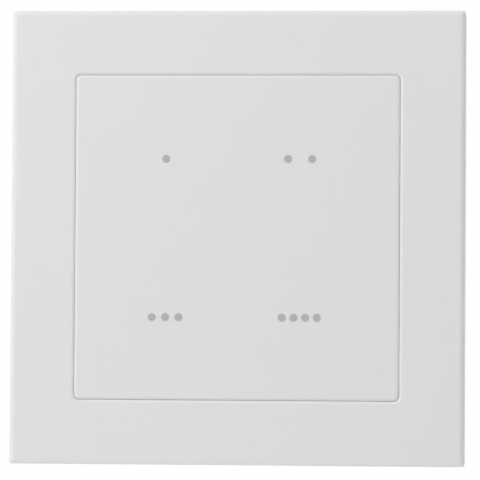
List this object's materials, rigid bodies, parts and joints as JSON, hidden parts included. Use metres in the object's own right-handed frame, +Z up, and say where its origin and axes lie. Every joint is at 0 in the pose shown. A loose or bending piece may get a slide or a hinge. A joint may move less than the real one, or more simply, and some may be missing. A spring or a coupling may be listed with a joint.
{
  "type": "wall-mounted smart button",
  "caption": "Flat square wall button: one tilting key in a slim white frame, its corner zones marked with grey dots, over a battery-powered radio switch module.",
  "frame": {"origin": "centre of the back, on the wall plane", "axes": "+Z up along the wall, +X to the right seen from the room, -Y out of the wall towards the user, +Y into the wall"},
  "size_m": [0.084, 0.0135, 0.084],
  "materials": {
    "frame_plastic": "satin moulded white with a very fine grain",
    "key_plastic": "satin moulded white with a very fine grain",
    "dot_ink": "light grey inlay",
    "plate_plastic": "matte moulded white",
    "pad_foam": "soft closed-cell foam tape",
    "housing_plastic": "matte moulded grey",
    "screw_steel": "zinc-plated",
    "board_laminate": "green solder resist",
    "chip_resin": "moulded black resin",
    "shield_tin": "tinned sheet",
    "antenna_ceramic": "glazed ceramic",
    "cell_steel": "nickel-plated steel",
    "gasket_plastic": "moulded seal",
    "contact_metal": "nickel-plated spring sheet",
    "mat_silicone": "soft translucent silicone",
    "pivot_plastic": "natural bearing plastic"
  },
  "bodies": {
    "wall_unit": {"cover_frame": "frame_plastic", "wall_plate": "plate_plastic", "adhesive_pads": "pad_foam", "rear_housing": "housing_plastic", "front_housing": "housing_plastic", "housing_screws": "screw_steel", "circuit_board": "board_laminate", "radio_chip": "chip_resin", "radio_shield": "shield_tin", "crystal": "shield_tin", "chip_antenna": "antenna_ceramic", "chip_parts": "chip_resin", "cell_can": "cell_steel", "cell_cap": "cell_steel", "cell_gasket": "gasket_plastic", "battery_clip_positive": "contact_metal", "battery_contact_negative": "contact_metal", "switch_bases": "chip_resin", "switch_domes": "contact_metal", "switch_covers": "shield_tin", "switch_terminals": "shield_tin", "silicone_mat": "mat_silicone"},
    "pivot": {"pivot_cross": "pivot_plastic"},
    "key": {"key_plate": "key_plastic", "key_dots": "dot_ink"},
    "button_1": {"plunger_1": "chip_resin"},
    "button_2": {"plunger_2": "chip_resin"},
    "button_3": {"plunger_3": "chip_resin"},
    "button_4": {"plunger_4": "chip_resin"}
  },
  "joints": [
    {"name": "tip_1_4", "type": "hinge", "parent": "wall_unit", "child": "pivot", "pos_m": [0, -0.00965, 0], "axis": [0.7071, 0, 0.7071], "range_deg": [-0.5, 0.5], "stiffness_Nm_per_rad": 4, "deforming": ["silicone_mat"]},
    {"name": "tip_2_3", "type": "hinge", "parent": "pivot", "child": "key", "pos_m": [0, -0.00965, 0], "axis": [-0.7071, 0, 0.7071], "range_deg": [-0.5, 0.5], "stiffness_Nm_per_rad": 4},
    {"name": "press_1", "type": "slide", "parent": "wall_unit", "child": "button_1", "axis": [0, 1, 0], "range_m": [0, 0.00025], "stiffness_N_per_m": 6400, "deforming": ["switch_domes"]},
    {"name": "press_2", "type": "slide", "parent": "wall_unit", "child": "button_2", "axis": [0, 1, 0], "range_m": [0, 0.00025], "stiffness_N_per_m": 6400},
    {"name": "press_3", "type": "slide", "parent": "wall_unit", "child": "button_3", "axis": [0, 1, 0], "range_m": [0, 0.00025], "stiffness_N_per_m": 6400},
    {"name": "press_4", "type": "slide", "parent": "wall_unit", "child": "button_4", "axis": [0, 1, 0], "range_m": [0, 0.00025], "stiffness_N_per_m": 6400}
  ]
}
